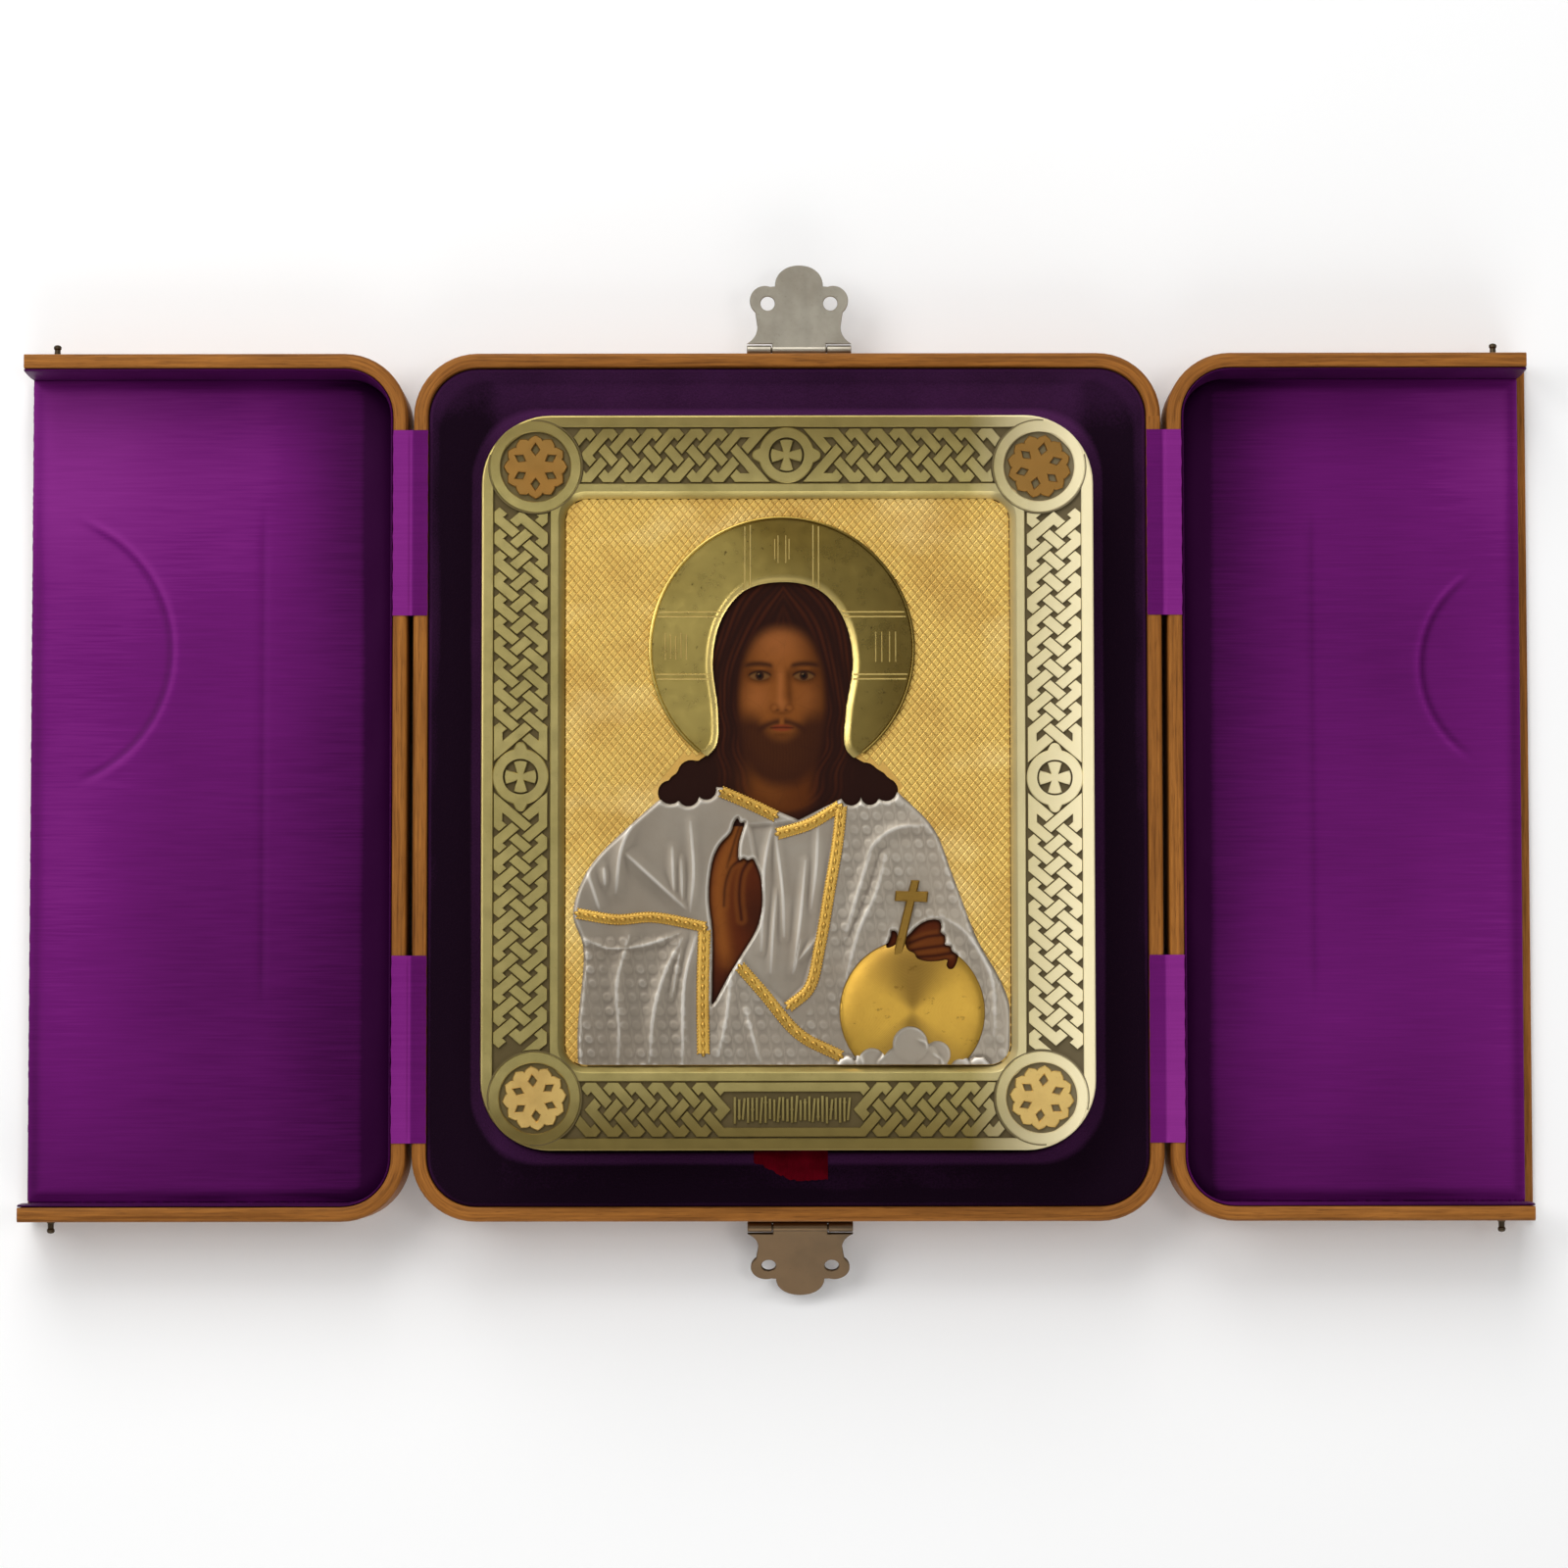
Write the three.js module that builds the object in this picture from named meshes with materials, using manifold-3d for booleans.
import * as THREE from "three";
import { mergeGeometries, mergeVertices } from "three/addons/utils/BufferGeometryUtils.js";
import Module from "manifold-3d";

const wasm = await Module();
wasm.setup();

// An icon under a chased metal cover, in the velvet bed of its oak travelling case.
// Millimetres. The open case lies on its back: +Z faces the viewer, +Y is the top of the icon,
// and the origin is the middle of the case's underside.

// The case and its doors: three trays of one depth
const CASE_WIDTH = 275;
const CASE_HEIGHT = 319;
const TRAY_DEPTH = 31;
const WALL = 5.3;
const BOARD = 5;
const CORNER_RADIUS = 23.5;
const HINGE_GAP = 2.2;
const FIT_GAP = 0.25;

// The doors meet right of the middle, and a lip on the right one covers the seam
const SEAM_X = 4.4;
const SEAM_GAP = 0.6;
const LIP_WIDTH = 3.4;
const LIP_THICKNESS = 2.25;
const LIP_CLEARANCE = 0.5;

// Silk lining of the doors
const LINING_PAD = 3;
const LINING_SIDE = 0.8;
const LINING_BELOW_RIM = 0.75;

// Silk hinges glued over both rims
const RIBBON_LENGTH = 68.5;
const RIBBON_CENTRE_Y = 96.7;
const RIBBON_THICKNESS = 0.375;

// Clasps: a leaf on the case, a rod and a swinging flap with two eyes for the door pins
const CLASP_HALF_WIDTH = 19.3;
const CLASP_AXIS_BELOW_RIM = 8.25;
const CLASP_AXIS_OUT = 2.2;
const CLASP_PLATE = 1.1;
const CLASP_PLATE_OFFSET = 0.5;
const CLASP_LENGTH = 31.4;
const LEAF_HEIGHT = 11;
const LEAF_THICKNESS = 0.9;
const KNUCKLE_RADIUS = 1.8;
const KNUCKLE_MIDDLE = 10;
const KNUCKLE_GAP = 0.3;
const KNUCKLE_CLEARANCE = 0.4;
const ROD_RADIUS = 1;
const BORE_RADIUS = 1.1;
const EYE_X = 11.6;
const EYE_Y = 17.2;
const EYE_RADIUS = 2.65;
const EAR_X = 12.6;
const EAR_Y = 18.2;
const EAR_RADIUS = 5.6;
const EAR_START = THREE.MathUtils.degToRad(-50);
const EAR_END = THREE.MathUtils.degToRad(110);
const WAIST_X = 15.4;
const WAIST_Y = 8.5;
const WAIST_PULL = 4.5;
const LOBE_X = 8.9;
const LOBE_Y = 23.6;
const LOBE_SHOULDER = 28.5;
const LOBE_CROWN = 5;
const BOTTOM_FLAP_DROOP = THREE.MathUtils.degToRad(38);
const PIN_RADIUS = 1.5;
const PIN_LENGTH = 4.4;
const PIN_SHOULDER = 3.3;
const PIN_NOSE = 4.2;
const PIN_TIP_RADIUS = 1;
const ROUND_SIDES = 8;

// The velvet bed and the ribbon that lifts the icon out of it
const BED_BELOW_RIM = 1.5;
const BED_SHOULDER = 1.5;
const SEAT_DEPTH = 2.5;
const SEAT_GAP = 1;
const LIFTER_WIDTH = 27;
const LIFTER_X = 1;
const LIFTER_REACH = 11.5;
const LIFTER_THICKNESS = 0.4;
const LIFTER_GAP = 0.28;

// The icon: five by six vershok
const ICON_WIDTH = 222.2;
const ICON_HEIGHT = 266.7;
const ICON_RADIUS = 25;
const ICON_BOARD = 22.5;
const SKIRT_WALL = 1.4;
const SKIRT_HEIGHT = 16.5;
const FIELD_SHEET = 1;

// The border: plain outer band, sunk channel with a plait, plain inner band, sloping sight edge
const BORDER_HEIGHT = 4;
const BORDER_CHAMFER = 1;
const OUTER_BAND = 4.4;
const CHANNEL = 20.6;
const CHANNEL_DEPTH = 1.25;
const INNER_BAND = 3.2;
const SIGHT_SLOPE = 2.1;
const SIGHT_DROP = 2.5;
const WINDOW_RADIUS = 8;
const CHANNEL_INNER_RADIUS = 10;

// The plait of four strands
const PLAIT_ROW = 4.6;
const PLAIT_PERIOD = 7.85;
const STRAND = 3.5;
const STRAND_GROOVE = 0.45;
const STRAND_HEIGHT = 1;
const PLAIT_START = 4;
const MEDALLION_CROSSING = 16.4;
const CARTOUCHE_CROSSING = 24.5;
const ROOF_END = 0.2;

// Round and long settings on the border
const ROUNDEL_X = 91.5;
const ROUNDEL_Y = 114.5;
const ROUNDEL_RADIUS = 16.7;
const ROUNDEL_WELL = 12.7;
const ROUNDEL_SIDES = 20;
const ROSETTE_RADIUS = 11.7;
const ROSETTE_VALLEY = 10.7;
const ROSETTE_LOBES = 12;
const PIERCING_RADIUS = 6;
const PIERCING_LENGTH = 3.9;
const PIERCING_WIDTH = 2.5;
const PIERCING_COUNT = 6;
const ROSETTE_THICKNESS = 1.25;
const MEDALLION_X = 96.7;
const MEDALLION_SIDE_Y = 1.7;
const MEDALLION_RADIUS = 9.9;
const MEDALLION_WELL = 6.8;
const MEDALLION_SIDES = 12;
const MEDALLION_CROSS = 5.9;
const CROSS_TIP = 2.5;
const CROSS_NECK = 0.95;
const KNOB_RADIUS = 2;
const KNOB_OUT = 11.5;
const KNOB_SIDES = 6;
const SETTING_PROUD = 0.25;
const SETTING_DEPTH = 1.5;
const SETTING_GROOVE = 0.5;
const CARTOUCHE_X = 1.4;
const CARTOUCHE_HALF_LENGTH = 25.8;
const CARTOUCHE_HALF_HEIGHT = 8.6;
const CARTOUCHE_NOTCH = 4;
const CARTOUCHE_RIM = 1.8;

// The raised figure: silver robe, halo, orb and the openings for the painted flesh
const ROBE_SHEET = 1.25;
const ROBE_EDGE = 0.8;
const TRIM_RISE = 0.6;
const FOLD_END = 0.04;
const FOLD_SINK = 0.35;
const HALO_X = -2.1;
const HALO_Y = 48.2;
const HALO_RADIUS = 48.4;
const HALO_RIM = 1.6;
const HALO_RIM_RISE = 0.4;
const HALO_SIDES = 36;
const ORB_X = 44.9;
const ORB_Y = -83.5;
const ORB_RADIUS = 26;
const ORB_RISE = 3.2;
const ORB_RINGS = 4;
const ORB_SIDES = 28;
const CROSS_RISE = 1.2;
const CROSS_GAP = 0.25;
const CLOUD_BANK = [24, 72];
const CLOUD_BANK_HEIGHT = 5;
const CLOUD_SIDES = 10;
const FIGURE_GAP = 0.3;

// Levels worked out from the sizes above
const BED_TOP = TRAY_DEPTH - BED_BELOW_RIM;
const SEAT_LEVEL = BED_TOP - SEAT_DEPTH;
const BOARD_FRONT = SEAT_LEVEL + ICON_BOARD;
const FIELD_FRONT = BOARD_FRONT + FIELD_SHEET;
const BORDER_FRONT = BOARD_FRONT + BORDER_HEIGHT;
const CHANNEL_FLOOR = BORDER_FRONT - CHANNEL_DEPTH;
const SETTING_FRONT = BORDER_FRONT + SETTING_PROUD;
const SETTING_FLOOR = SETTING_FRONT - SETTING_DEPTH;
const ROBE_FRONT = FIELD_FRONT + ROBE_SHEET;
const BORDER = OUTER_BAND + CHANNEL + INNER_BAND + SIGHT_SLOPE;
const WINDOW_WIDTH = ICON_WIDTH - 2 * BORDER;
const WINDOW_HEIGHT = ICON_HEIGHT - 2 * BORDER;
const CHANNEL_MIDDLE_Y = ICON_HEIGHT / 2 - OUTER_BAND - CHANNEL / 2;
const CLASP_AXIS_Z = TRAY_DEPTH - CLASP_AXIS_BELOW_RIM;
const HINGE_X = CASE_WIDTH / 2 + HINGE_GAP;
const HINGE_LIFT = 0.5;
const PIN_Z = 2 * (TRAY_DEPTH + HINGE_LIFT) - CLASP_AXIS_Z - EYE_Y;
const OVERRUN = 10;
const ABOVE_ALL = BORDER_FRONT + OVERRUN;
const CORNER_STEPS = 3;
const INNER_STEPS = 2;
const SPLINE_STEPS = 2;
const CURVE_STEPS = 4;

const colours = {
  oak: { color: 0xa56e37, roughness: 0.55, metalness: 0 },
  silk: { color: 0x5f1964, roughness: 0.45, metalness: 0 },
  velvet: { color: 0x1c0a20, roughness: 0.95, metalness: 0 },
  redSilk: { color: 0x640014, roughness: 0.6, metalness: 0 },
  paintedBoard: { color: 0x40200d, roughness: 0.4, metalness: 0 },
  giltField: { color: 0xd7b45f, roughness: 0.35, metalness: 1 },
  greenGilt: { color: 0x968750, roughness: 0.38, metalness: 1 },
  silver: { color: 0xa5a09e, roughness: 0.35, metalness: 1 },
  haloGilt: { color: 0x827d3c, roughness: 0.3, metalness: 1 },
  orbGilt: { color: 0xcda53c, roughness: 0.3, metalness: 1 },
  amberGilt: { color: 0xbe8c3c, roughness: 0.35, metalness: 1 },
  paleGilt: { color: 0xe1be6e, roughness: 0.35, metalness: 1 },
  claspSilver: { color: 0x968f82, roughness: 0.4, metalness: 1 },
  claspBronze: { color: 0x7a5f3c, roughness: 0.45, metalness: 1 },
  darkMetal: { color: 0x3c342a, roughness: 0.5, metalness: 1 },
};

// Joining and cutting

function solid(geometry) {
  geometry.deleteAttribute("normal");
  geometry.deleteAttribute("uv");
  const merged = mergeVertices(geometry, 1e-4);
  return new wasm.Manifold(new wasm.Mesh({
    numProp: 3,
    vertProperties: new Float32Array(merged.attributes.position.array),
    triVerts: new Uint32Array(merged.index.array),
  }));
}

function geometryOf(body) {
  const mesh = body.getMesh();
  const geometry = new THREE.BufferGeometry();
  geometry.setAttribute("position", new THREE.BufferAttribute(mesh.vertProperties, 3));
  geometry.setIndex(new THREE.BufferAttribute(mesh.triVerts, 1));
  return geometry;
}

function piece(name, body, finish) {
  const mesh = new THREE.Mesh(geometryOf(body), new THREE.MeshStandardMaterial(colours[finish]));
  mesh.name = name;
  return mesh;
}

const joined = (bodies) => bodies.reduce((whole, body) => whole.add(body));
const cutBy = (body, cutters) => cutters.reduce((rest, cutter) => rest.subtract(cutter), body);

// Basic forms

function prism(shapes, low, high, steps = CORNER_STEPS) {
  const settings = { depth: high - low, bevelEnabled: false, curveSegments: steps };
  return solid(new THREE.ExtrudeGeometry(shapes, settings).translate(0, 0, low));
}

// A prism whose upper and lower edges are chamfered inwards
function chamferedPrism(shape, low, high, chamfer, steps = CORNER_STEPS) {
  const settings = {
    depth: high - low - 2 * chamfer,
    bevelThickness: chamfer,
    bevelSize: chamfer,
    bevelOffset: -chamfer,
    bevelSegments: 1,
    curveSegments: steps,
  };
  return solid(new THREE.ExtrudeGeometry(shape, settings).translate(0, 0, low + chamfer));
}

// A closed skin through rings of equal point counts, with the given triangles as caps
function skin(rings, cap) {
  const count = rings[0].length;
  const triangles = cap.map(([a, b, c]) => [a, c, b]);
  const last = (rings.length - 1) * count;
  cap.forEach(([a, b, c]) => triangles.push([last + a, last + b, last + c]));
  for (let r = 0; r < rings.length - 1; r += 1) {
    for (let i = 0; i < count; i += 1) {
      const here = r * count + i;
      const next = r * count + (i + 1) % count;
      triangles.push([here, next, next + count], [here, next + count, here + count]);
    }
  }
  const geometry = new THREE.BufferGeometry().setFromPoints(rings.flat());
  geometry.setIndex(triangles.flat());
  return solid(geometry);
}

// A body between outlines of equal point counts, each at its own level
function loft(levels, steps = CORNER_STEPS) {
  const outlines = levels.map(([shape, z]) => ({ points: shape.getPoints(steps).slice(0, -1), z }));
  const rings = outlines.map(({ points, z }) => points.map((p) => new THREE.Vector3(p.x, p.y, z)));
  return skin(rings, THREE.ShapeUtils.triangulateShape(outlines[0].points, []));
}

function roundedRectangle(width, height, radius) {
  const x = width / 2 - radius;
  const y = height / 2 - radius;
  const shape = new THREE.Shape();
  const centres = [[x, y], [-x, y], [-x, -y], [x, -y]];
  centres.forEach(([cx, cy], i) => {
    shape.absarc(cx, cy, radius, i * Math.PI / 2, (i + 1) * Math.PI / 2);
  });
  shape.lineTo(x + radius, y);
  return shape;
}

function circle(x, y, radius) {
  return new THREE.Shape().absarc(x, y, radius, 0, 2 * Math.PI);
}

function disc(x, y, radius, low, high, sides) {
  return prism(circle(x, y, radius), low, high, sides / 2);
}

function block(x0, x1, y0, y1, z0, z1) {
  const geometry = new THREE.BoxGeometry(x1 - x0, y1 - y0, z1 - z0);
  return solid(geometry.translate((x0 + x1) / 2, (y0 + y1) / 2, (z0 + z1) / 2));
}

function polygon(points) {
  return new THREE.Shape(points.map(([x, y]) => new THREE.Vector2(x, y)));
}

function smoothLoop(points, steps) {
  const knots = points.map(([x, y]) => new THREE.Vector3(x, y, 0));
  const curve = new THREE.CatmullRomCurve3(knots, true, "centripetal");
  return polygon(curve.getPoints(points.length * steps).slice(0, -1).map((p) => [p.x, p.y]));
}

// The case

function caseFrame() {
  const inner = roundedRectangle(CASE_WIDTH - 2 * WALL, CASE_HEIGHT - 2 * WALL, CORNER_RADIUS - WALL);
  const outer = roundedRectangle(CASE_WIDTH, CASE_HEIGHT, CORNER_RADIUS);
  outer.holes.push(inner);
  return prism(outer, BOARD, TRAY_DEPTH);
}

function caseBack() {
  return prism(roundedRectangle(CASE_WIDTH, CASE_HEIGHT, CORNER_RADIUS), 0, BOARD);
}

function velvetBed() {
  const inset = WALL + FIT_GAP;
  const outline = (grow) => roundedRectangle(
    CASE_WIDTH - 2 * inset + 2 * grow, CASE_HEIGHT - 2 * inset + 2 * grow, CORNER_RADIUS - inset + grow);
  const seat = (grow) => roundedRectangle(
    ICON_WIDTH + 2 * grow, ICON_HEIGHT + 2 * grow, ICON_RADIUS + grow);
  const shoulderFoot = BED_TOP - BED_SHOULDER;
  const bed = loft([[outline(0), BOARD], [outline(0), shoulderFoot], [outline(-BED_SHOULDER), BED_TOP]]);
  const hollow = loft([
    [seat(SEAT_GAP), SEAT_LEVEL],
    [seat(SEAT_GAP), shoulderFoot],
    [seat(SEAT_GAP + BED_SHOULDER), BED_TOP],
    [seat(SEAT_GAP + BED_SHOULDER), BED_TOP + OVERRUN],
  ]);
  return bed.subtract(hollow);
}

// A ribbon that comes up beside the icon's lower edge and lies over the bed
function liftingRibbon() {
  const inner = ICON_HEIGHT / 2 + LIFTER_GAP;
  const outer = inner + LIFTER_THICKNESS;
  const reach = ICON_HEIGHT / 2 + LIFTER_REACH;
  const tail = SEAT_LEVEL + FIT_GAP;
  const profile = polygon([
    [inner, tail], [outer, tail], [outer, BED_TOP], [reach, BED_TOP],
    [reach, BED_TOP + LIFTER_THICKNESS], [inner, BED_TOP + LIFTER_THICKNESS],
  ]);
  const settings = { depth: LIFTER_WIDTH, bevelEnabled: false };
  const ribbon = new THREE.ExtrudeGeometry(profile, settings);
  ribbon.applyMatrix4(new THREE.Matrix4().makeBasis(
    new THREE.Vector3(0, -1, 0), new THREE.Vector3(0, 0, 1), new THREE.Vector3(-1, 0, 0)));
  return solid(ribbon.translate(LIFTER_X + LIFTER_WIDTH / 2, 0, 0));
}

function hingeRibbon(side, centreY) {
  const width = 2 * WALL + HINGE_GAP;
  const middle = side * (CASE_WIDTH / 2 + HINGE_GAP / 2);
  return block(
    middle - width / 2, middle + width / 2, centreY - RIBBON_LENGTH / 2, centreY + RIBBON_LENGTH / 2,
    TRAY_DEPTH, TRAY_DEPTH + RIBBON_THICKNESS);
}

// The doors: side is -1 for the left one and +1 for the right one

function doorOutline(side, inset, overrun) {
  const half = CASE_HEIGHT / 2 - inset;
  const radius = CORNER_RADIUS - inset;
  const hinge = side * (HINGE_X + inset);
  const free = side * (doorFreeX(side) + overrun);
  const centre = hinge + side * radius;
  const turn = side > 0 ? Math.PI : 0;
  const clockwise = side < 0;
  const shape = new THREE.Shape();
  shape.moveTo(free, half);
  shape.lineTo(centre, half);
  shape.absarc(centre, half - radius, radius, Math.PI / 2, turn, clockwise);
  shape.absarc(centre, radius - half, radius, turn, side > 0 ? 1.5 * Math.PI : -Math.PI / 2, clockwise);
  shape.lineTo(free, -half);
  return shape;
}

function doorFreeX(side) {
  return HINGE_X + CASE_WIDTH / 2 - side * SEAM_X - SEAM_GAP / 2;
}

function doorFrame(side) {
  const inside = prism(doorOutline(side, WALL, OVERRUN), 0, TRAY_DEPTH + OVERRUN);
  return prism(doorOutline(side, 0, 0), BOARD, TRAY_DEPTH).subtract(inside);
}

function doorPanel(side) {
  const panel = prism(doorOutline(side, 0, 0), 0, BOARD);
  const free = doorFreeX(side);
  const half = CASE_HEIGHT / 2;
  if (side > 0) {
    return panel.add(block(free - LIP_WIDTH, free + LIP_WIDTH, -half, half, 0, LIP_THICKNESS));
  }
  const rebate = LIP_WIDTH + SEAM_GAP + LIP_CLEARANCE;
  const beyond = half + OVERRUN;
  return panel.subtract(block(
    -free - OVERRUN, rebate - free, -beyond, beyond, -OVERRUN, LIP_THICKNESS + LIP_CLEARANCE));
}

function doorLining(side) {
  const silk = prism(doorOutline(side, WALL + FIT_GAP, 0), BOARD, TRAY_DEPTH - LINING_BELOW_RIM);
  const hollow = doorOutline(side, WALL + FIT_GAP + LINING_SIDE, OVERRUN);
  return silk.subtract(prism(hollow, BOARD + LINING_PAD, TRAY_DEPTH + OVERRUN));
}

// A round-nosed pin on the outer face of a door's upper or lower wall
function doorPin(name, side, end) {
  const profile = [
    [0, 0], [PIN_RADIUS, 0], [PIN_RADIUS, PIN_SHOULDER], [PIN_TIP_RADIUS, PIN_NOSE], [0, PIN_LENGTH],
  ];
  const turned = new THREE.LatheGeometry(profile.map(([r, y]) => new THREE.Vector2(r, y)), ROUND_SIDES);
  const pin = piece(name, solid(turned), "darkMetal");
  pin.rotation.z = end > 0 ? 0 : Math.PI;
  const fromSeam = EYE_X - SEAM_GAP / 2;
  pin.position.set(side * (doorFreeX(side) - fromSeam), end * CASE_HEIGHT / 2, PIN_Z);
  return pin;
}

// The clasps, drawn at the upper wall: x along the wall, y outwards from it, z from the axis

function rodAlongX(x0, x1, radius) {
  const rod = new THREE.CylinderGeometry(radius, radius, x1 - x0, ROUND_SIDES).rotateZ(Math.PI / 2);
  return solid(rod.translate((x0 + x1) / 2, CLASP_AXIS_OUT, 0));
}

function claspLeaf() {
  const middle = KNUCKLE_MIDDLE + KNUCKLE_GAP;
  const plate = block(-CLASP_HALF_WIDTH, CLASP_HALF_WIDTH, 0, LEAF_THICKNESS, -LEAF_HEIGHT, 0);
  const room = rodAlongX(-middle, middle, KNUCKLE_RADIUS + KNUCKLE_CLEARANCE);
  const left = rodAlongX(-CLASP_HALF_WIDTH, -middle, KNUCKLE_RADIUS);
  const right = rodAlongX(middle, CLASP_HALF_WIDTH, KNUCKLE_RADIUS);
  const bore = rodAlongX(-2 * CLASP_HALF_WIDTH, 2 * CLASP_HALF_WIDTH, BORE_RADIUS);
  return cutBy(joined([plate.subtract(room), left, right]), [bore]);
}

// The flap's outline: straight base, drawn-in waist, a round ear with an eye, a round middle lobe
function flapOutline() {
  const foot = KNUCKLE_RADIUS + KNUCKLE_CLEARANCE;
  const side = new THREE.Path();
  side.moveTo(CLASP_HALF_WIDTH, foot);
  side.quadraticCurveTo(WAIST_X, WAIST_PULL, WAIST_X, WAIST_Y);
  side.absarc(EAR_X, EAR_Y, EAR_RADIUS, EAR_START, EAR_END);
  side.lineTo(LOBE_X, LOBE_Y);
  side.bezierCurveTo(LOBE_X, LOBE_SHOULDER, LOBE_CROWN, CLASP_LENGTH, 0, CLASP_LENGTH);
  const right = side.getPoints(CURVE_STEPS);
  const left = right.slice(0, -1).reverse().map((p) => new THREE.Vector2(-p.x, p.y));
  const base = [[-KNUCKLE_MIDDLE, foot], [-KNUCKLE_MIDDLE, 0], [KNUCKLE_MIDDLE, 0], [KNUCKLE_MIDDLE, foot]];
  const shape = new THREE.Shape([...right, ...left, ...base.map(([x, y]) => new THREE.Vector2(x, y))]);
  shape.holes.push(circle(EYE_X, EYE_Y, EYE_RADIUS), circle(-EYE_X, EYE_Y, EYE_RADIUS));
  return shape;
}

// The flap lying level
function claspFlap() {
  const plate = prism(flapOutline(), CLASP_PLATE_OFFSET, CLASP_PLATE_OFFSET + CLASP_PLATE, CURVE_STEPS);
  const knuckle = rodAlongX(-KNUCKLE_MIDDLE, KNUCKLE_MIDDLE, KNUCKLE_RADIUS);
  const bore = rodAlongX(-CLASP_HALF_WIDTH, CLASP_HALF_WIDTH, BORE_RADIUS);
  return joined([plate.translate([0, CLASP_AXIS_OUT, 0]), knuckle]).subtract(bore);
}

function clasp(place, end, droop, finish) {
  const group = new THREE.Group();
  group.position.set(SEAM_X, end * CASE_HEIGHT / 2, CLASP_AXIS_Z);
  group.rotation.z = end > 0 ? 0 : Math.PI;
  group.add(piece(`clasp_leaf_${place}`, claspLeaf(), finish));
  const rod = rodAlongX(-CLASP_HALF_WIDTH, CLASP_HALF_WIDTH, ROD_RADIUS);
  group.add(piece(`clasp_rod_${place}`, rod, "darkMetal"));
  const swing = new THREE.Group();
  swing.position.y = CLASP_AXIS_OUT;
  swing.rotation.x = -droop;
  const flap = piece(`clasp_flap_${place}`, claspFlap(), finish);
  flap.position.y = -CLASP_AXIS_OUT;
  swing.add(flap);
  group.add(swing);
  return group;
}

// The icon's board and the border of its cover

function iconBoard() {
  const inset = SKIRT_WALL + FIT_GAP;
  const outline = roundedRectangle(ICON_WIDTH - 2 * inset, ICON_HEIGHT - 2 * inset, ICON_RADIUS - inset);
  return prism(outline, SEAT_LEVEL, BOARD_FRONT);
}

const plaitSlope = PLAIT_PERIOD / (2 * PLAIT_ROW);
const plaitStretch = Math.hypot(1, plaitSlope);
const strandHalf = STRAND / 2 * plaitStretch;
const strandClear = (STRAND / 2 + STRAND_GROOVE) * plaitStretch;
const plaitEdge = CHANNEL / 2 - FIT_GAP;

// Strands run along a = u - slope v or b = u + slope v, with u along the band and v across it
const plaitPoint = (a, b) => [(a + b) / 2, (b - a) / (2 * plaitSlope)];

// The stretch of a strand that passes over at the middle of the band
function crossBar(k) {
  const [a0, a1] = [(k - 1) * PLAIT_PERIOD + strandClear, (k + 1) * PLAIT_PERIOD - strandClear];
  const [b0, b1] = [k * PLAIT_PERIOD - strandHalf, k * PLAIT_PERIOD + strandHalf];
  return [plaitPoint(a0, b0), plaitPoint(a1, b0), plaitPoint(a1, b1), plaitPoint(a0, b1)];
}

// The stretch that passes over beside one edge, as far as its turn there
function edgeBar(k) {
  const [a0, a1] = [k * PLAIT_PERIOD - strandHalf, k * PLAIT_PERIOD + strandHalf];
  const inner = k * PLAIT_PERIOD - strandClear;
  const reach = 2 * plaitSlope * plaitEdge;
  const corners = [[a0, inner], [a1, inner], [a1, a1 - reach], [a0, a0 - reach]];
  return corners.map(([a, b]) => plaitPoint(a, b));
}

// The bars of half a band, running from its middle setting towards a corner; the strands lean by across
function plaitBars([x, y], [alongX, alongY], [acrossX, acrossY], first, length) {
  const bars = [];
  for (let k = -1; first + k * PLAIT_PERIOD < length; k += 1) {
    const opposite = edgeBar(-k).map(([u, v]) => [-u, -v]);
    const crossed = k < 0 ? [edgeBar(k), opposite] : [crossBar(k), edgeBar(k), opposite];
    bars.push(...crossed.map((bar) => bar.map(([u, v]) => [u + first, v])));
  }
  const whole = bars.filter((bar) => bar.every(([u]) => u > PLAIT_START && u < length));
  return whole.map((bar) => bar.map(
    ([u, v]) => new THREE.Vector2(x + u * alongX + v * acrossX, y + u * alongY + v * acrossY)));
}

// A bar with a roof: its long sides lean up to a crest that stops short of both ends
function roofedBar(corners) {
  const ring = THREE.ShapeUtils.isClockWise(corners) ? corners.toReversed() : corners;
  const longFirst = ring[0].distanceTo(ring[1]) > ring[1].distanceTo(ring[2]);
  const [a, b, c, d] = longFirst ? [ring[1], ring[2], ring[3], ring[0]] : ring;
  const ends = [a.clone().lerp(b, 0.5), c.clone().lerp(d, 0.5)];
  const crest = [ends[0].clone().lerp(ends[1], ROOF_END), ends[1].clone().lerp(ends[0], ROOF_END)];
  const low = [a, b, c, d].map((p) => [p.x, p.y, CHANNEL_FLOOR]);
  const high = crest.map((p) => [p.x, p.y, CHANNEL_FLOOR + STRAND_HEIGHT]);
  const faces = [[0, 2, 1], [0, 3, 2], [0, 1, 4], [2, 3, 5], [1, 2, 5], [1, 5, 4], [3, 0, 4], [3, 4, 5]];
  const geometry = new THREE.BufferGeometry();
  geometry.setAttribute("position", new THREE.Float32BufferAttribute([...low, ...high].flat(), 3));
  geometry.setIndex(faces.flat());
  return geometry;
}

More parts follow.
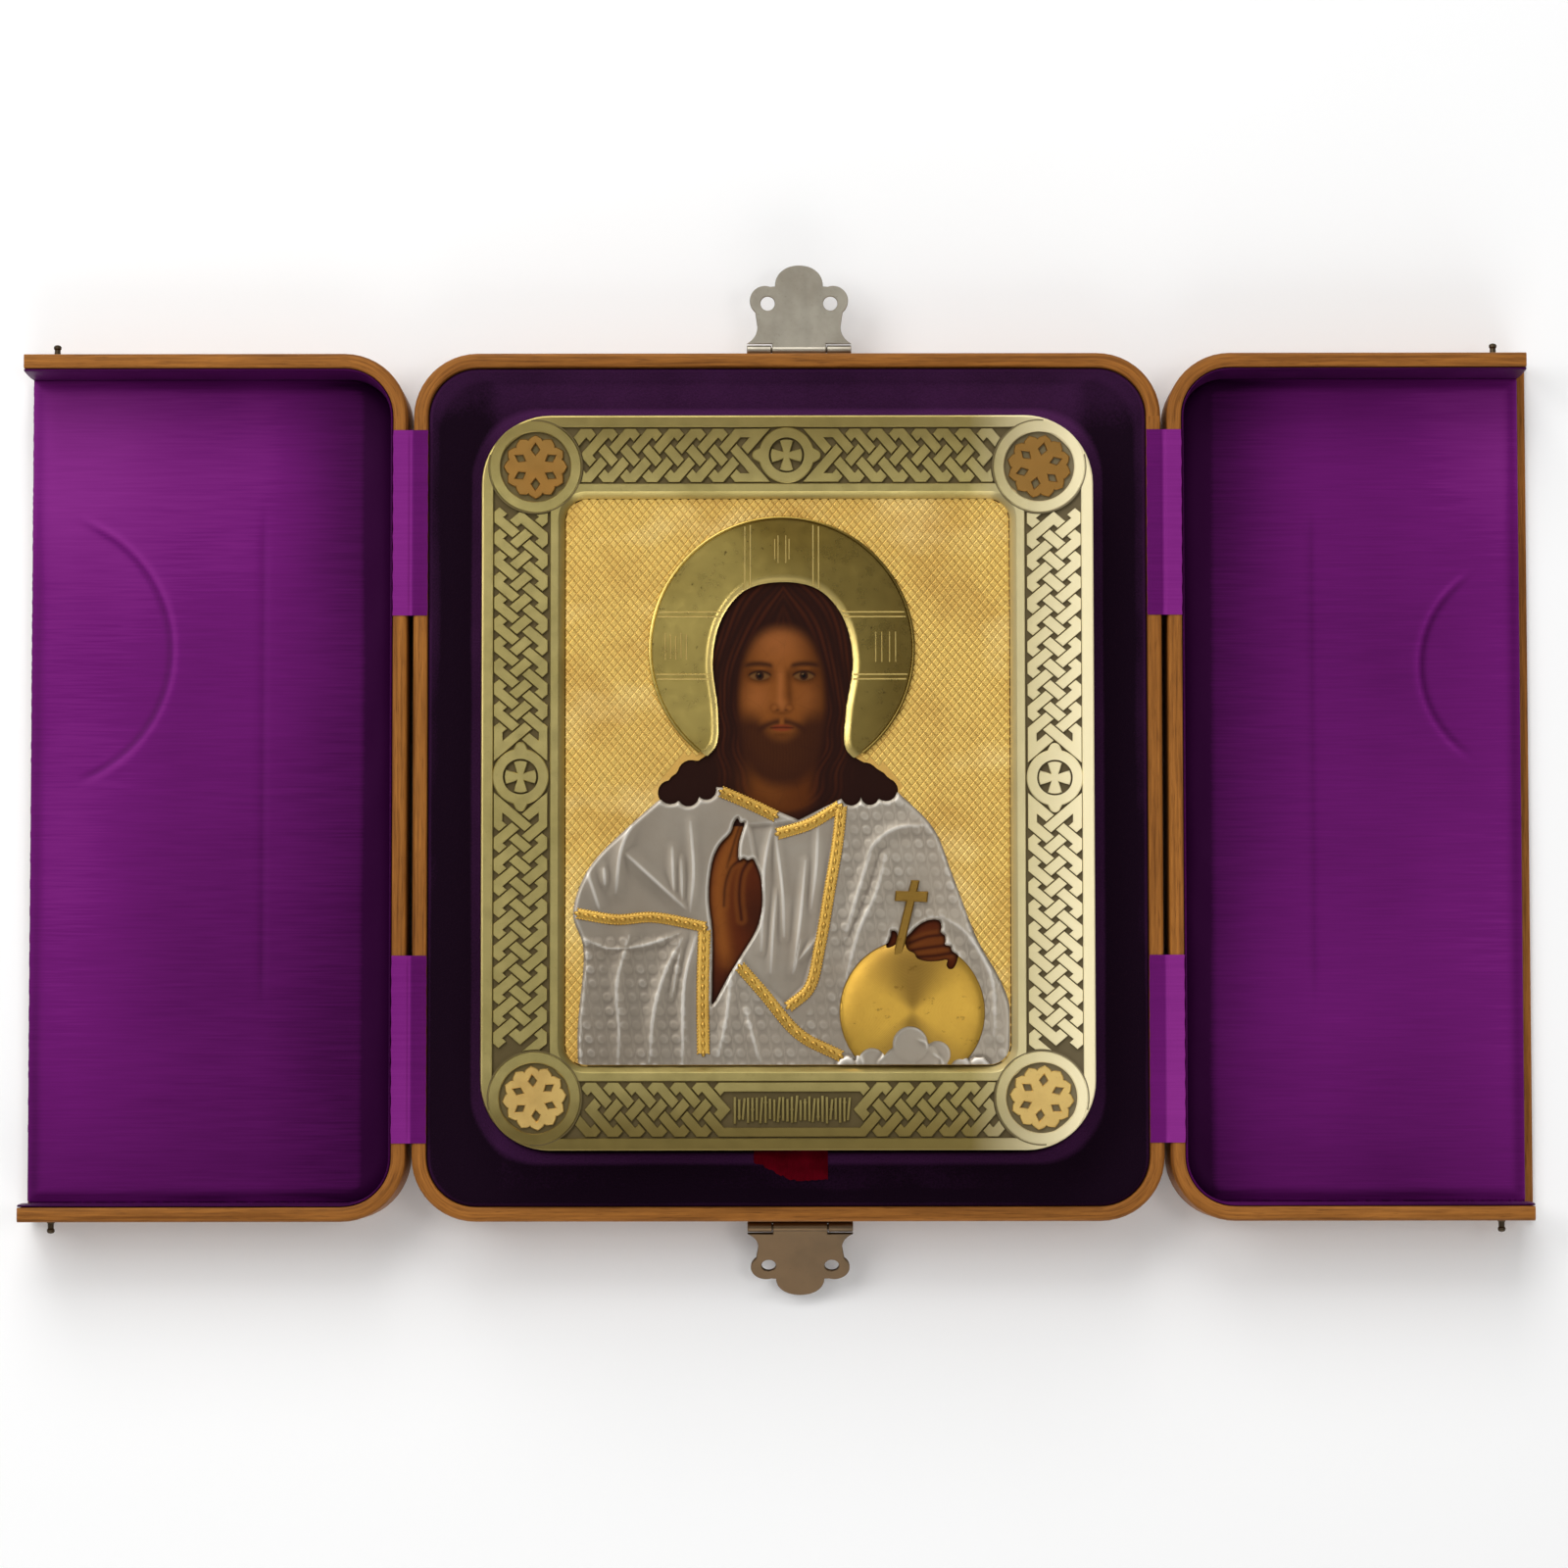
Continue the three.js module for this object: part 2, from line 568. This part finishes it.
function plait() {
  const bars = [];
  [1, -1].forEach((sign) => {
    const top = [0, CHANNEL_MIDDLE_Y];
    const bottom = [CARTOUCHE_X, -CHANNEL_MIDDLE_Y];
    bars.push(...plaitBars(top, [sign, 0], [0, -1], MEDALLION_CROSSING, ROUNDEL_X));
    bars.push(...plaitBars(bottom, [sign, 0], [0, 1], CARTOUCHE_CROSSING, ROUNDEL_X - sign * CARTOUCHE_X));
    [1, -1].forEach((side) => {
      const middle = [side * MEDALLION_X, MEDALLION_SIDE_Y];
      const length = ROUNDEL_Y - sign * MEDALLION_SIDE_Y;
      bars.push(...plaitBars(middle, [0, sign], [side, 0], MEDALLION_CROSSING, length));
    });
  });
  return solid(mergeGeometries(bars.map(roofedBar)));
}

// A cross with arms that widen outwards
function flaredCross(x, y, reach, low, high) {
  const arm = [[CROSS_NECK, CROSS_NECK], [reach, CROSS_TIP], [reach, -CROSS_TIP]];
  const outline = [0, 1, 2, 3].flatMap((quarter) => {
    const turn = -quarter * Math.PI / 2;
    return arm.map(([u, v]) => [
      x + u * Math.cos(turn) - v * Math.sin(turn), y + u * Math.sin(turn) + v * Math.cos(turn)]);
  });
  return prism(polygon(outline), low, high);
}

const medallions = [
  { x: 0, y: CHANNEL_MIDDLE_Y, alongX: 1 },
  { x: -MEDALLION_X, y: MEDALLION_SIDE_Y, alongX: 0 },
  { x: MEDALLION_X, y: MEDALLION_SIDE_Y, alongX: 0 },
];

const roundels = [
  { place: "top_left", x: -ROUNDEL_X, y: ROUNDEL_Y, turn: 0.1, finish: "amberGilt" },
  { place: "top_right", x: ROUNDEL_X, y: ROUNDEL_Y, turn: 0.32, finish: "amberGilt" },
  { place: "bottom_left", x: -ROUNDEL_X, y: -ROUNDEL_Y, turn: 0.45, finish: "paleGilt" },
  { place: "bottom_right", x: ROUNDEL_X, y: -ROUNDEL_Y, turn: 0.2, finish: "paleGilt" },
];

// A long setting with ends notched inwards
function cartoucheOutline(grow) {
  const long = CARTOUCHE_HALF_LENGTH + grow;
  const high = CARTOUCHE_HALF_HEIGHT + grow;
  const upper = [[long - CARTOUCHE_NOTCH, 0], [long, high], [-long, high]];
  const corners = [...upper, ...upper.map(([x, y]) => [-x, -y])];
  return polygon(corners.map(([x, y]) => [x + CARTOUCHE_X, y - CHANNEL_MIDDLE_Y]));
}

function border() {
  const outline = (inset, radius) => roundedRectangle(
    ICON_WIDTH - 2 * inset, ICON_HEIGHT - 2 * inset, radius);
  const foot = BOARD_FRONT - SKIRT_HEIGHT;
  const shell = chamferedPrism(outline(0, ICON_RADIUS), foot, BORDER_FRONT, BORDER_CHAMFER);
  const inside = prism(outline(SKIRT_WALL, ICON_RADIUS - SKIRT_WALL), foot - OVERRUN, BOARD_FRONT);
  const sightFoot = BORDER_FRONT - SIGHT_DROP;
  const slope = BORDER - SIGHT_SLOPE;
  const sight = loft([
    [outline(BORDER, WINDOW_RADIUS), foot],
    [outline(BORDER, WINDOW_RADIUS), sightFoot],
    [outline(slope, WINDOW_RADIUS + SIGHT_SLOPE), BORDER_FRONT],
    [outline(slope, WINDOW_RADIUS + SIGHT_SLOPE), ABOVE_ALL],
  ], INNER_STEPS);
  const channel = outline(OUTER_BAND, ICON_RADIUS - OUTER_BAND);
  channel.holes.push(outline(OUTER_BAND + CHANNEL, CHANNEL_INNER_RADIUS));
  const rings = [
    ...roundels.map(({ x, y }) => ({
      x, y, outer: ROUNDEL_RADIUS, well: ROUNDEL_WELL, sides: ROUNDEL_SIDES,
    })),
    ...medallions.map(({ x, y }) => ({
      x, y, outer: MEDALLION_RADIUS, well: MEDALLION_WELL, sides: MEDALLION_SIDES,
    })),
  ];
  const base = CHANNEL_FLOOR - FIT_GAP;
  const settings = rings.map(({ x, y, outer, sides }) => disc(x, y, outer, base, SETTING_FRONT, sides));
  const knobPlaces = medallions.flatMap(({ x, y, alongX }) => [KNOB_OUT, -KNOB_OUT].map(
    (out) => [x + out * alongX, y + out * (1 - alongX)]));
  const knobs = knobPlaces.map(([x, y]) => disc(x, y, KNOB_RADIUS, base, SETTING_FRONT, KNOB_SIDES));
  const cartouche = prism(cartoucheOutline(0), base, SETTING_FRONT);
  const grooves = [
    ...rings.map(({ x, y, outer, sides }) => disc(x, y, outer + SETTING_GROOVE, foot, ABOVE_ALL, sides)),
    ...knobPlaces.map(([x, y]) => disc(
      x, y, KNOB_RADIUS + SETTING_GROOVE, foot, ABOVE_ALL, KNOB_SIDES)),
    prism(cartoucheOutline(SETTING_GROOVE), foot, ABOVE_ALL),
  ];
  const wells = [
    ...rings.map(({ x, y, well, sides }) => disc(x, y, well, SETTING_FLOOR, ABOVE_ALL, sides)),
    prism(cartoucheOutline(-CARTOUCHE_RIM), SETTING_FLOOR, ABOVE_ALL),
  ];
  const crosses = medallions.map(({ x, y }) => flaredCross(
    x, y, MEDALLION_CROSS, SETTING_FLOOR - FIT_GAP, BORDER_FRONT));
  const plain = cutBy(shell, [inside, sight, prism(channel, CHANNEL_FLOOR, ABOVE_ALL, INNER_STEPS)]);
  const worked = joined([plain, cutBy(plait(), grooves), ...settings, ...knobs, cartouche]);
  return joined([cutBy(worked, wells), ...crosses]);
}

// A scalloped plate with six diamond piercings round its middle
function rosette({ x, y, turn }) {
  const at = (angle, radius) => [x + radius * Math.cos(angle), y + radius * Math.sin(angle)];
  const step = Math.PI / ROSETTE_LOBES;
  const rim = Array.from({ length: 2 * ROSETTE_LOBES }, (_, i) =>
    at(turn + i * step, i % 2 ? ROSETTE_VALLEY : ROSETTE_RADIUS));
  const plate = polygon(rim);
  const sideways = PIERCING_WIDTH / 2 / PIERCING_RADIUS;
  for (let i = 0; i < PIERCING_COUNT; i += 1) {
    const angle = turn + i * 2 * Math.PI / PIERCING_COUNT;
    plate.holes.push(polygon([
      at(angle, PIERCING_RADIUS + PIERCING_LENGTH / 2), at(angle + sideways, PIERCING_RADIUS),
      at(angle, PIERCING_RADIUS - PIERCING_LENGTH / 2), at(angle - sideways, PIERCING_RADIUS),
    ]));
  }
  return prism(plate, SETTING_FLOOR, SETTING_FLOOR + ROSETTE_THICKNESS);
}

// Openings in the cover that show the painted flesh and hair

function through(shape, steps) {
  return prism(shape, BOARD_FRONT - OVERRUN, ABOVE_ALL, steps);
}

function headOpening() {
  const hair = smoothLoop([
    [-2.5, 72.6], [11, 70], [20, 60], [23.7, 44], [21, 24], [21.5, 11], [36, 1], [20, -6],
    [-2, -3], [-26, -2], [-43, 0], [-26.5, 12], [-25.2, 24], [-27.2, 44], [-24, 59], [-15.5, 69.5],
  ], SPLINE_STEPS);
  const neck = polygon([
    [-26, -1], [4, -14], [20, -6], [29.8, -5.4], [35.6, -3.2], [28, 3], [0, 20], [-35, 4], [-41, 0],
    [-42.5, -4], [-30, -4],
  ]);
  const curls = [
    [-42.5, -4, 4.2], [-36, -5.2, 3.8], [-29.5, -3, 3.6], [-35, 3, 4.5],
    [35.6, -3.2, 4], [29.8, -5.4, 3.2], [23, -5.2, 3.6], [28, 2, 4.5],
  ];
  const locks = curls.map(([x, y, radius]) => through(circle(x, y, radius), CURVE_STEPS));
  return joined([through(hair), through(neck), ...locks]);
}

function handOpenings() {
  const rightHand = smoothLoop([
    [-19, -12.2], [-16.2, -14], [-18.3, -20.5], [-18.2, -27], [-13, -27.2], [-10, -39], [-11, -50],
    [-18.5, -63], [-28, -80.3], [-28, -54], [-29, -34], [-26, -23],
  ], SPLINE_STEPS);
  const leftHand = smoothLoop([
    [41.6, -57.4], [51.8, -49.2], [54.8, -50.6], [56.2, -55.5], [60.6, -62], [58, -67], [55.6, -64.6],
    [46.6, -63.8],
  ], SPLINE_STEPS);
  const thumb = smoothLoop([[36.7, -53], [39, -55.5], [38.6, -59.4], [34.9, -59.2]], SPLINE_STEPS);
  return joined([through(rightHand), through(leftHand), through(thumb)]);
}

// The raised figure

function windowOutline(inset) {
  return roundedRectangle(WINDOW_WIDTH - 2 * inset, WINDOW_HEIGHT - 2 * inset, WINDOW_RADIUS - inset);
}

function field(openings) {
  return prism(windowOutline(FIGURE_GAP), BOARD_FRONT, FIELD_FRONT).subtract(openings);
}

function robeOutline() {
  const points = (list) => list.map(([x, y]) => new THREE.Vector2(x, y));
  const below = -WINDOW_HEIGHT / 2 - OVERRUN;
  const shape = new THREE.Shape();
  shape.moveTo(-26, -1);
  shape.lineTo(4, -14);
  shape.lineTo(20, -6);
  shape.lineTo(39.7, -3.7);
  shape.splineThru(points([[52.8, -17.2], [59.9, -34.9], [68.8, -58], [75.9, -70.4], [80, -81], [80, -100]]));
  shape.lineTo(80, below);
  shape.lineTo(-75.5, below);
  shape.splineThru(points([
    [-76, -90], [-74, -60], [-77.7, -48], [-72.1, -31.5], [-56.6, -15.4], [-46.8, -6.8]]));
  return shape;
}

// Crest lines of the drapery: breadth and rise of each fold, then the points that it runs through
const folds = [
  [4.5, 1.6, [[-56.4, -15], [-60.4, -25], [-62, -40]]],
  [4, 1.4, [[-72.5, -33], [-68, -46.4]]],
  [5, 1.7, [[-60, -25], [-48, -36], [-37, -46]]],
  [3.8, 1.4, [[-35.2, -15], [-35, -47]]],
  [3.6, 1.3, [[-41.5, -24], [-40.5, -44.5]]],
  [4, 1.7, [[-33.6, -56.5], [-37.3, -72], [-38.2, -102]]],
  [5, 1.8, [[-38.8, -57], [-45, -70], [-50, -101]]],
  [4.5, 1.5, [[-57, -55], [-62, -75], [-61.4, -102]]],
  [4.5, 1.5, [[-20.5, -68], [-25.4, -99]]],
  [4.5, 1.3, [[-15.4, -81], [-10.4, -101]]],
  [4, 1.6, [[-6, -16], [-8.4, -62]]],
  [4, 1.6, [[-4, -19], [-1.4, -58]]],
  [4, 1.5, [[8.6, -17], [6, -42], [1.6, -70]]],
  [5, 1.8, [[50, -15.4], [32, -22], [25, -38], [20.6, -58]]],
  [5, 1.8, [[36, -27], [30, -45], [20.6, -73]]],
  [5, 1.8, [[57, -51], [70, -62], [75.4, -80], [75.4, -95]]],
];

// Borders of the garments: breadth, then the points of the middle line
const trims = [
  [3.6, [[-77.4, -47.6], [-62, -50], [-49, -49.2], [-28, -53]]],
  [4.3, [[-30.2, -52], [-30.8, -76], [-30.6, -98.4]]],
  [3.9, [[20, -6], [18, -22], [15, -40], [11.5, -60], [7.6, -75], [-1.4, -83]]],
  [3.9, [[-19.6, -64.6], [-9, -76.5], [4, -91.5], [21, -100]]],
  [4, [[-26.5, -2.4], [-14, -8], [-2.6, -13.6]]],
  [4, [[-4.2, -19.2], [8, -15.4], [20, -8]]],
];

// Lobes of the clouds under the orb: middle and radius
const clouds = [
  [43, -94.4, 8], [54.2, -96.6, 5.4], [29.2, -99.6, 6], [36, -100, 4], [62, -101, 4], [69, -101, 4],
];

const splineOf = (points) => new THREE.SplineCurve(points.map(([x, y]) => new THREE.Vector2(x, y)));

// A ridge of three-sided section that rises out of the sheet and sinks back at both ends
function foldRidge([breadth, rise, points]) {
  const curve = splineOf(points);
  const steps = points.length + 1;
  const sunk = ROBE_FRONT - ROBE_SHEET / 2;
  const rings = Array.from({ length: steps + 1 }, (_, i) => {
    const t = i / steps;
    const swell = Math.sqrt(Math.sin(Math.PI * (FOLD_END + (1 - 2 * FOLD_END) * t)));
    const middle = curve.getPoint(t);
    const along = curve.getTangent(t);
    const half = breadth / 2 * swell;
    const crest = ROBE_FRONT + rise * (swell + FOLD_SINK * (swell - 1));
    return [
      new THREE.Vector3(middle.x + along.y * half, middle.y - along.x * half, sunk),
      new THREE.Vector3(middle.x - along.y * half, middle.y + along.x * half, sunk),
      new THREE.Vector3(middle.x, middle.y, crest),
    ];
  });
  return skin(rings, [[0, 1, 2]]);
}

function trimStrip([breadth, points]) {
  const curve = splineOf(points);
  const steps = points.length + 1;
  const edge = (t, side) => {
    const middle = curve.getPoint(t);
    const along = curve.getTangent(t);
    return [middle.x - side * along.y * breadth / 2, middle.y + side * along.x * breadth / 2];
  };
  const stations = Array.from({ length: steps + 1 }, (_, i) => i / steps);
  const outline = [...stations.map((t) => edge(t, 1)), ...stations.reverse().map((t) => edge(t, -1))];
  return prism(polygon(outline), FIELD_FRONT, ROBE_FRONT + TRIM_RISE);
}

// The clouds under the orb: round lobes on a low bank, each up to its own level
function cloudBank(grow, level) {
  const lobes = clouds.map(([x, y, radius], i) => disc(
    x, y, radius + grow, FIELD_FRONT, level(i), CLOUD_SIDES));
  const foot = -WINDOW_HEIGHT / 2;
  const [x0, x1] = CLOUD_BANK;
  const bank = block(x0, x1, foot, foot + CLOUD_BANK_HEIGHT + grow, FIELD_FRONT, level(-1));
  return joined([bank, ...lobes]);
}

const cloudLevel = (i) => ROBE_FRONT + (i < 0 ? 0 : TRIM_RISE) + (i === 0 ? TRIM_RISE : 0);

function robe(openings) {
  const outline = robeOutline();
  const sheet = chamferedPrism(outline, FIELD_FRONT - ROBE_EDGE, ROBE_FRONT, ROBE_EDGE, SPLINE_STEPS);
  const within = prism(outline, FIELD_FRONT, ABOVE_ALL, SPLINE_STEPS);
  const drapery = joined([...folds.map(foldRidge), ...trims.map(trimStrip)]).intersect(within);
  const room = disc(ORB_X, ORB_Y, ORB_RADIUS + FIGURE_GAP, FIELD_FRONT - OVERRUN, ABOVE_ALL, ORB_SIDES);
  const dressed = joined([sheet, drapery]).subtract(room).add(cloudBank(0, cloudLevel));
  const window = prism(windowOutline(2 * FIGURE_GAP), FIELD_FRONT, ABOVE_ALL);
  return dressed.intersect(window).subtract(openings);
}

function turnedDisc(x, y, profile, steps) {
  const lathe = new THREE.LatheGeometry(profile.map(([r, z]) => new THREE.Vector2(r, z)), steps);
  return solid(lathe.rotateX(Math.PI / 2).translate(x, y, 0));
}

function halo(openings) {
  const high = ROBE_FRONT + HALO_RIM_RISE;
  const profile = [
    [0, FIELD_FRONT], [HALO_RADIUS, FIELD_FRONT], [HALO_RADIUS, ROBE_FRONT],
    [HALO_RADIUS - HALO_RIM / 2, high], [HALO_RADIUS - HALO_RIM, ROBE_FRONT - HALO_RIM_RISE],
    [HALO_RADIUS / 2, high], [0, high],
  ];
  return turnedDisc(HALO_X, HALO_Y, profile, HALO_SIDES).subtract(openings);
}

function orb(openings) {
  const edge = FIELD_FRONT + FIELD_SHEET / 2;
  const profile = [[0, FIELD_FRONT], [ORB_RADIUS, FIELD_FRONT], [ORB_RADIUS, edge]];
  for (let i = 1; i <= ORB_RINGS; i += 1) {
    const radius = ORB_RADIUS * (1 - i / ORB_RINGS);
    const fall = (radius / ORB_RADIUS) ** 2;
    profile.push([radius, edge + ORB_RISE * (1 - fall)]);
  }
  const ball = turnedDisc(ORB_X, ORB_Y, profile, ORB_SIDES);
  const window = prism(windowOutline(2 * FIGURE_GAP), FIELD_FRONT - OVERRUN, ABOVE_ALL);
  const crossLow = ROBE_FRONT + CROSS_GAP;
  const shaft = [[37.4, -65.4], [44.6, -35.9], [47.7, -36], [40.6, -66]];
  const arms = [[38.6, -43.4], [50.4, -43.9], [50.8, -40], [38.9, -39.8]];
  const cross = prism(polygon(shaft), crossLow, crossLow + CROSS_RISE)
    .add(prism(polygon(arms), crossLow, crossLow + CROSS_RISE));
  const whole = ball.intersect(window).subtract(cloudBank(FIGURE_GAP, () => ABOVE_ALL)).add(cross);
  return whole.subtract(openings);
}

// Assembly

const icon = new THREE.Group();
const head = headOpening();
const hands = handOpenings();
const openings = head.add(hands);
icon.add(
  piece("icon_board", iconBoard(), "paintedBoard"),
  piece("riza_border", border(), "greenGilt"),
  piece("riza_field", field(openings), "giltField"),
  piece("riza_robe", robe(openings), "silver"),
  piece("riza_halo", halo(head), "haloGilt"),
  piece("riza_orb", orb(hands), "orbGilt"),
  ...roundels.map((roundel) => piece(`rosette_${roundel.place}`, rosette(roundel), roundel.finish)),
);

const travellingCase = new THREE.Group();
travellingCase.add(
  piece("case_back", caseBack(), "oak"),
  piece("case_frame", caseFrame(), "oak"),
  piece("velvet_bed", velvetBed(), "velvet"),
  piece("lifting_ribbon", liftingRibbon(), "redSilk"),
  icon,
  clasp("top", 1, 0, "claspSilver"),
  clasp("bottom", -1, BOTTOM_FLAP_DROOP, "claspBronze"),
);

[["left", -1], ["right", 1]].forEach(([name, side]) => {
  const door = new THREE.Group();
  door.add(
    piece(`${name}_door_panel`, doorPanel(side), "oak"),
    piece(`${name}_door_frame`, doorFrame(side), "oak"),
    piece(`${name}_door_lining`, doorLining(side), "silk"),
    doorPin(`${name}_door_pin_top`, side, 1),
    doorPin(`${name}_door_pin_bottom`, side, -1),
  );
  travellingCase.add(
    door,
    piece(`hinge_ribbon_${name}_upper`, hingeRibbon(side, RIBBON_CENTRE_Y), "silk"),
    piece(`hinge_ribbon_${name}_lower`, hingeRibbon(side, -RIBBON_CENTRE_Y), "silk"),
  );
});

export default travellingCase;
